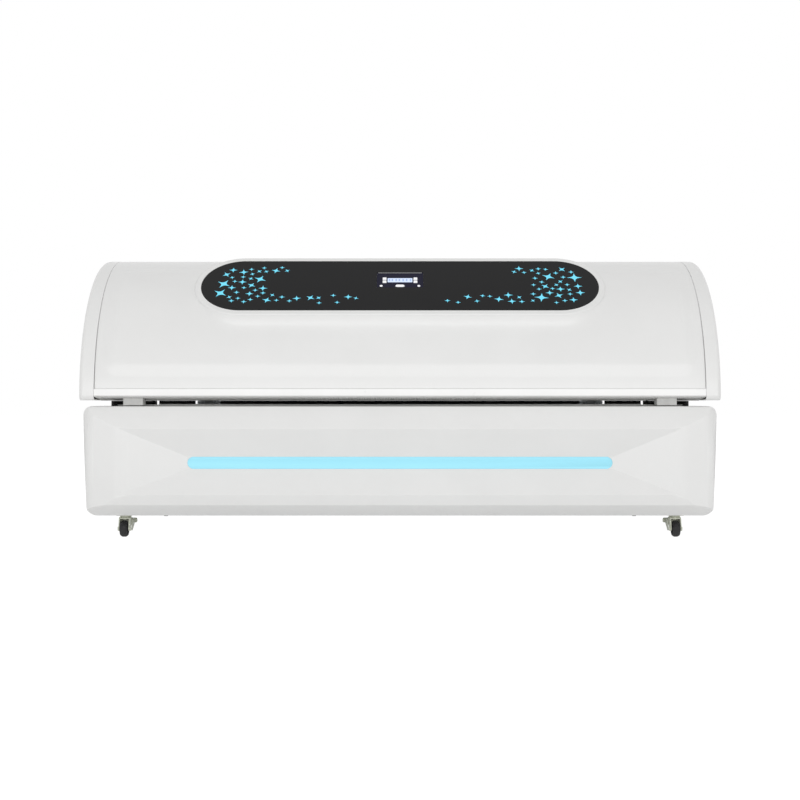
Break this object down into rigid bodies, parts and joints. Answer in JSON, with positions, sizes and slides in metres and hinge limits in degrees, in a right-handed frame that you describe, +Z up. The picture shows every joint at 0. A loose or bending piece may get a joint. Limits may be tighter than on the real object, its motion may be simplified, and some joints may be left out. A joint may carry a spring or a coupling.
{
  "type": "red light therapy bed",
  "caption": "Closed clamshell light bed: curved lid with a control panel over a moulded base with a light strip, on swivel casters.",
  "frame": {"origin": "middle of the bed's outline on the floor, below its casters", "axes": "+X along the bed to the viewer's right, +Y from the front to the hinged rear, +Z up"},
  "size_m": [1.94, 0.8996, 0.88],
  "materials": {
    "white_shell": "gloss white moulded acrylic-capped ABS",
    "fascia_black": "black printed acrylic with a satin gloss",
    "module_black": "dark glossy window over the display",
    "key_white": "white keys",
    "rail_aluminium": "satin anodised",
    "frame_paint": "grey powder coat",
    "led_board": "white solder mask on aluminium boards",
    "clear_acrylic": "clear cast acrylic",
    "strip_blue": "frosted diffuser, lit light blue",
    "buffer_rubber": "light grey rubber",
    "black_plastic": "moulded black, fine grain",
    "bright_steel": "zinc plated",
    "strut_black": "black painted tube",
    "tyre_black": "black tread",
    "caster_paint": "cream painted pressed steel"
  },
  "bodies": {
    "base": {"front_cover": "white_shell", "rear_cover": "white_shell", "left_cover": "white_shell", "right_cover": "white_shell", "bed_front_rail": "rail_aluminium", "bed_rear_rail": "rail_aluminium", "strip_light_board": "rail_aluminium", "bed_reflector_tray": "rail_aluminium", "power_supply": "rail_aluminium", "base_frame": "frame_paint", "floor_pan": "frame_paint", "bed_led_board": "led_board", "bed_sheet": "clear_acrylic", "strip_diffuser": "strip_blue", "lid_buffer_left": "buffer_rubber", "lid_buffer_right": "buffer_rubber", "control_box": "black_plastic", "mains_inlet": "black_plastic", "fan_frame_left": "black_plastic", "fan_frame_right": "black_plastic", "hinge_bracket_left": "bright_steel", "hinge_bracket_right": "bright_steel", "hinge_pin_left": "bright_steel", "hinge_pin_right": "bright_steel", "caster_plate_front_left": "caster_paint", "caster_plate_front_right": "caster_paint", "caster_plate_rear_left": "caster_paint", "caster_plate_rear_right": "caster_paint"},
    "lid": {"lid_shell": "white_shell", "lid_left_cap": "white_shell", "lid_right_cap": "white_shell", "lid_front_rail": "rail_aluminium", "lid_rear_rail": "rail_aluminium", "lid_frame": "frame_paint", "lid_led_panel": "led_board", "lid_sheet": "clear_acrylic", "control_fascia": "fascia_black", "display_module": "module_black"},
    "strut_tube_left": {"strut_cylinder_left": "strut_black"},
    "strut_piston_left": {"strut_rod_left": "bright_steel"},
    "strut_tube_right": {"strut_cylinder_right": "strut_black"},
    "strut_piston_right": {"strut_rod_right": "bright_steel"},
    "start_key_body": {"start_key": "key_white"},
    "arrow_key_upper_left_body": {"arrow_key_upper_left": "key_white"},
    "arrow_key_upper_right_body": {"arrow_key_upper_right": "key_white"},
    "arrow_key_lower_left_body": {"arrow_key_lower_left": "key_white"},
    "arrow_key_lower_right_body": {"arrow_key_lower_right": "key_white"},
    "rotor_left": {"fan_rotor_left": "black_plastic"},
    "rotor_right": {"fan_rotor_right": "black_plastic"},
    "rocker": {"mains_switch": "black_plastic"},
    "fork_front_left": {"caster_fork_front_left": "caster_paint"},
    "wheel_front_left": {"caster_wheel_front_left": "tyre_black"},
    "pedal_front_left": {"caster_brake_front_left": "caster_paint"},
    "fork_front_right": {"caster_fork_front_right": "caster_paint"},
    "wheel_front_right": {"caster_wheel_front_right": "tyre_black"},
    "pedal_front_right": {"caster_brake_front_right": "caster_paint"},
    "fork_rear_left": {"caster_fork_rear_left": "caster_paint"},
    "wheel_rear_left": {"caster_wheel_rear_left": "tyre_black"},
    "fork_rear_right": {"caster_fork_rear_right": "caster_paint"},
    "wheel_rear_right": {"caster_wheel_rear_right": "tyre_black"}
  },
  "joints": [
    {"name": "lid_hinge", "type": "hinge", "parent": "base", "child": "lid", "pos_m": [0, 0.44, 0.411], "axis": [-1, 0, 0], "range_deg": [0, 50]},
    {"name": "strut_swing_left", "type": "hinge", "parent": "base", "child": "strut_tube_left", "pos_m": [-0.895, 0.34, 0.3], "axis": [-1, 0, 0], "range_deg": [0, 11]},
    {"name": "strut_slide_left", "type": "slide", "parent": "strut_tube_left", "child": "strut_piston_left", "axis": [0, 0.3162, 0.9487], "range_m": [0, 0.0445]},
    {"name": "strut_swing_right", "type": "hinge", "parent": "base", "child": "strut_tube_right", "pos_m": [0.895, 0.34, 0.3], "axis": [-1, 0, 0], "range_deg": [0, 11]},
    {"name": "strut_slide_right", "type": "slide", "parent": "strut_tube_right", "child": "strut_piston_right", "axis": [0, 0.3162, 0.9487], "range_m": [0, 0.0445]},
    {"name": "start_key_press", "type": "slide", "parent": "lid", "child": "start_key_body", "axis": [0, 0.6508, -0.7593], "range_m": [0, 0.0008], "stiffness_N_per_m": 400},
    {"name": "arrow_key_upper_left_press", "type": "slide", "parent": "lid", "child": "arrow_key_upper_left_body", "axis": [0, 0.6508, -0.7593], "range_m": [0, 0.0008], "stiffness_N_per_m": 400},
    {"name": "arrow_key_upper_right_press", "type": "slide", "parent": "lid", "child": "arrow_key_upper_right_body", "axis": [0, 0.6508, -0.7593], "range_m": [0, 0.0008], "stiffness_N_per_m": 400},
    {"name": "arrow_key_lower_left_press", "type": "slide", "parent": "lid", "child": "arrow_key_lower_left_body", "axis": [0, 0.6508, -0.7593], "range_m": [0, 0.0008], "stiffness_N_per_m": 400},
    {"name": "arrow_key_lower_right_press", "type": "slide", "parent": "lid", "child": "arrow_key_lower_right_body", "axis": [0, 0.6508, -0.7593], "range_m": [0, 0.0008], "stiffness_N_per_m": 400},
    {"name": "fan_spin_left", "type": "hinge", "parent": "base", "child": "rotor_left", "pos_m": [-0.45, 0.4, 0.23], "axis": [0, 1, 0], "continuous": true},
    {"name": "fan_spin_right", "type": "hinge", "parent": "base", "child": "rotor_right", "pos_m": [0.45, 0.4, 0.23], "axis": [0, 1, 0], "continuous": true},
    {"name": "mains_rocker", "type": "hinge", "parent": "base", "child": "rocker", "pos_m": [0.784, 0.431, 0.17], "axis": [-1, 0, 0], "range_deg": [0, 20]},
    {"name": "caster_swivel_front_left", "type": "hinge", "parent": "base", "child": "fork_front_left", "pos_m": [-0.8465, -0.352, 0.06], "axis": [0, 0, 1], "continuous": true},
    {"name": "wheel_roll_front_left", "type": "hinge", "parent": "fork_front_left", "child": "wheel_front_left", "pos_m": [-0.8465, -0.37, 0.025], "axis": [1, 0, 0], "continuous": true},
    {"name": "brake_press_front_left", "type": "hinge", "parent": "fork_front_left", "child": "pedal_front_left", "pos_m": [-0.8465, -0.3392, 0.0487], "axis": [-1, 0, 0], "range_deg": [0, 12]},
    {"name": "caster_swivel_front_right", "type": "hinge", "parent": "base", "child": "fork_front_right", "pos_m": [0.8465, -0.352, 0.06], "axis": [0, 0, 1], "continuous": true},
    {"name": "wheel_roll_front_right", "type": "hinge", "parent": "fork_front_right", "child": "wheel_front_right", "pos_m": [0.8465, -0.37, 0.025], "axis": [1, 0, 0], "continuous": true},
    {"name": "brake_press_front_right", "type": "hinge", "parent": "fork_front_right", "child": "pedal_front_right", "pos_m": [0.8465, -0.3392, 0.0487], "axis": [-1, 0, 0], "range_deg": [0, 12]},
    {"name": "caster_swivel_rear_left", "type": "hinge", "parent": "base", "child": "fork_rear_left", "pos_m": [-0.8465, 0.352, 0.06], "axis": [0, 0, 1], "continuous": true},
    {"name": "wheel_roll_rear_left", "type": "hinge", "parent": "fork_rear_left", "child": "wheel_rear_left", "pos_m": [-0.8465, 0.37, 0.025], "axis": [1, 0, 0], "continuous": true},
    {"name": "caster_swivel_rear_right", "type": "hinge", "parent": "base", "child": "fork_rear_right", "pos_m": [0.8465, 0.352, 0.06], "axis": [0, 0, 1], "continuous": true},
    {"name": "wheel_roll_rear_right", "type": "hinge", "parent": "fork_rear_right", "child": "wheel_rear_right", "pos_m": [0.8465, 0.37, 0.025], "axis": [1, 0, 0], "continuous": true}
  ],
  "couplings": [
    {"joint": "strut_swing_left", "follows": "lid_hinge", "ratio": 0.208},
    {"joint": "strut_slide_left", "follows": "lid_hinge", "m_per_rad": 0.0505},
    {"joint": "strut_swing_right", "follows": "lid_hinge", "ratio": 0.208},
    {"joint": "strut_slide_right", "follows": "lid_hinge", "m_per_rad": 0.0505}
  ]
}
